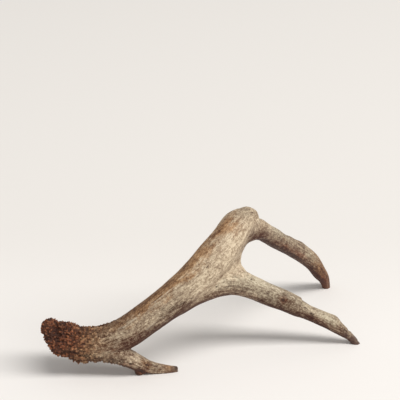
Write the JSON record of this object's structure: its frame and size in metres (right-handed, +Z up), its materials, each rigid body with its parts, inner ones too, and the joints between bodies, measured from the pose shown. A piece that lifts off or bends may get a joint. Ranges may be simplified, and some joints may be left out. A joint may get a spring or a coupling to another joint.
{
  "type": "deer antler",
  "caption": "Shed antler with a knobbly burr at its foot, a curved beam and curved tines, lying on the tips of its tines.",
  "frame": {"origin": "middle of the antler's footprint, on the surface it lies on", "axes": "+X from the burr towards the tine tips, +Y away from the brow tine towards the upper tine's tip, +Z up"},
  "size_m": [0.31, 0.1902, 0.146],
  "materials": {
    "antler_bone": "weathered bone: granular dark brown at the burr, streaked tan and cream along the beam, worn dark brown at the tips"
  },
  "bodies": {
    "root": {"main_beam": "antler_bone", "brow_tine": "antler_bone", "lower_tine": "antler_bone", "upper_tine": "antler_bone"}
  },
  "joints": []
}
